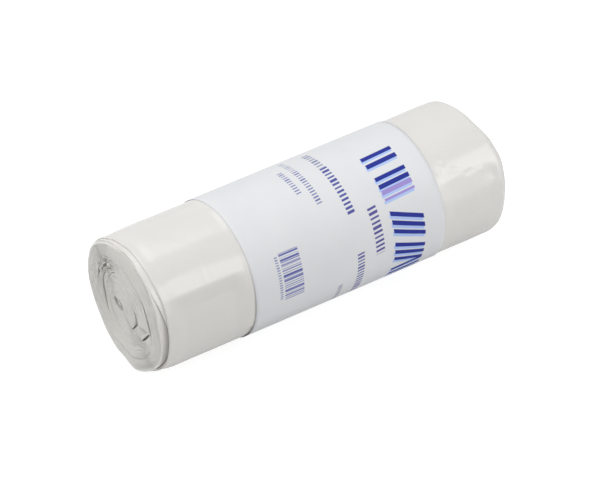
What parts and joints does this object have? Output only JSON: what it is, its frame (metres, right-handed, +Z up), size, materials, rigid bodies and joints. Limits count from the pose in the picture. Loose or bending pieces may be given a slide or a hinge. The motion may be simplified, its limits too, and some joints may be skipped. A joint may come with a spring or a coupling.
{
  "type": "bin bag roll",
  "caption": "Coreless roll of translucent film bin bags, wound from a flattened open eye, with slipped outer turns and a printed paper band round it.",
  "frame": {"origin": "centre of the bounding box's bottom face, on the surface that the roll lies on", "axes": "+X along the roll, from the end that the picture shows to the far one; +Y towards the back; +Z up"},
  "size_m": [0.2092, 0.073, 0.0709],
  "materials": {
    "film": "natural translucent polyethylene film in many turns, glossy, finely wrinkled along the roll",
    "band_paper": "thin uncoated cool white paper, printed with plain deep blue, light blue and violet bars and small dashes"
  },
  "bodies": {
    "root": {"bag_roll": "film", "paper_band": "band_paper"}
  },
  "joints": []
}
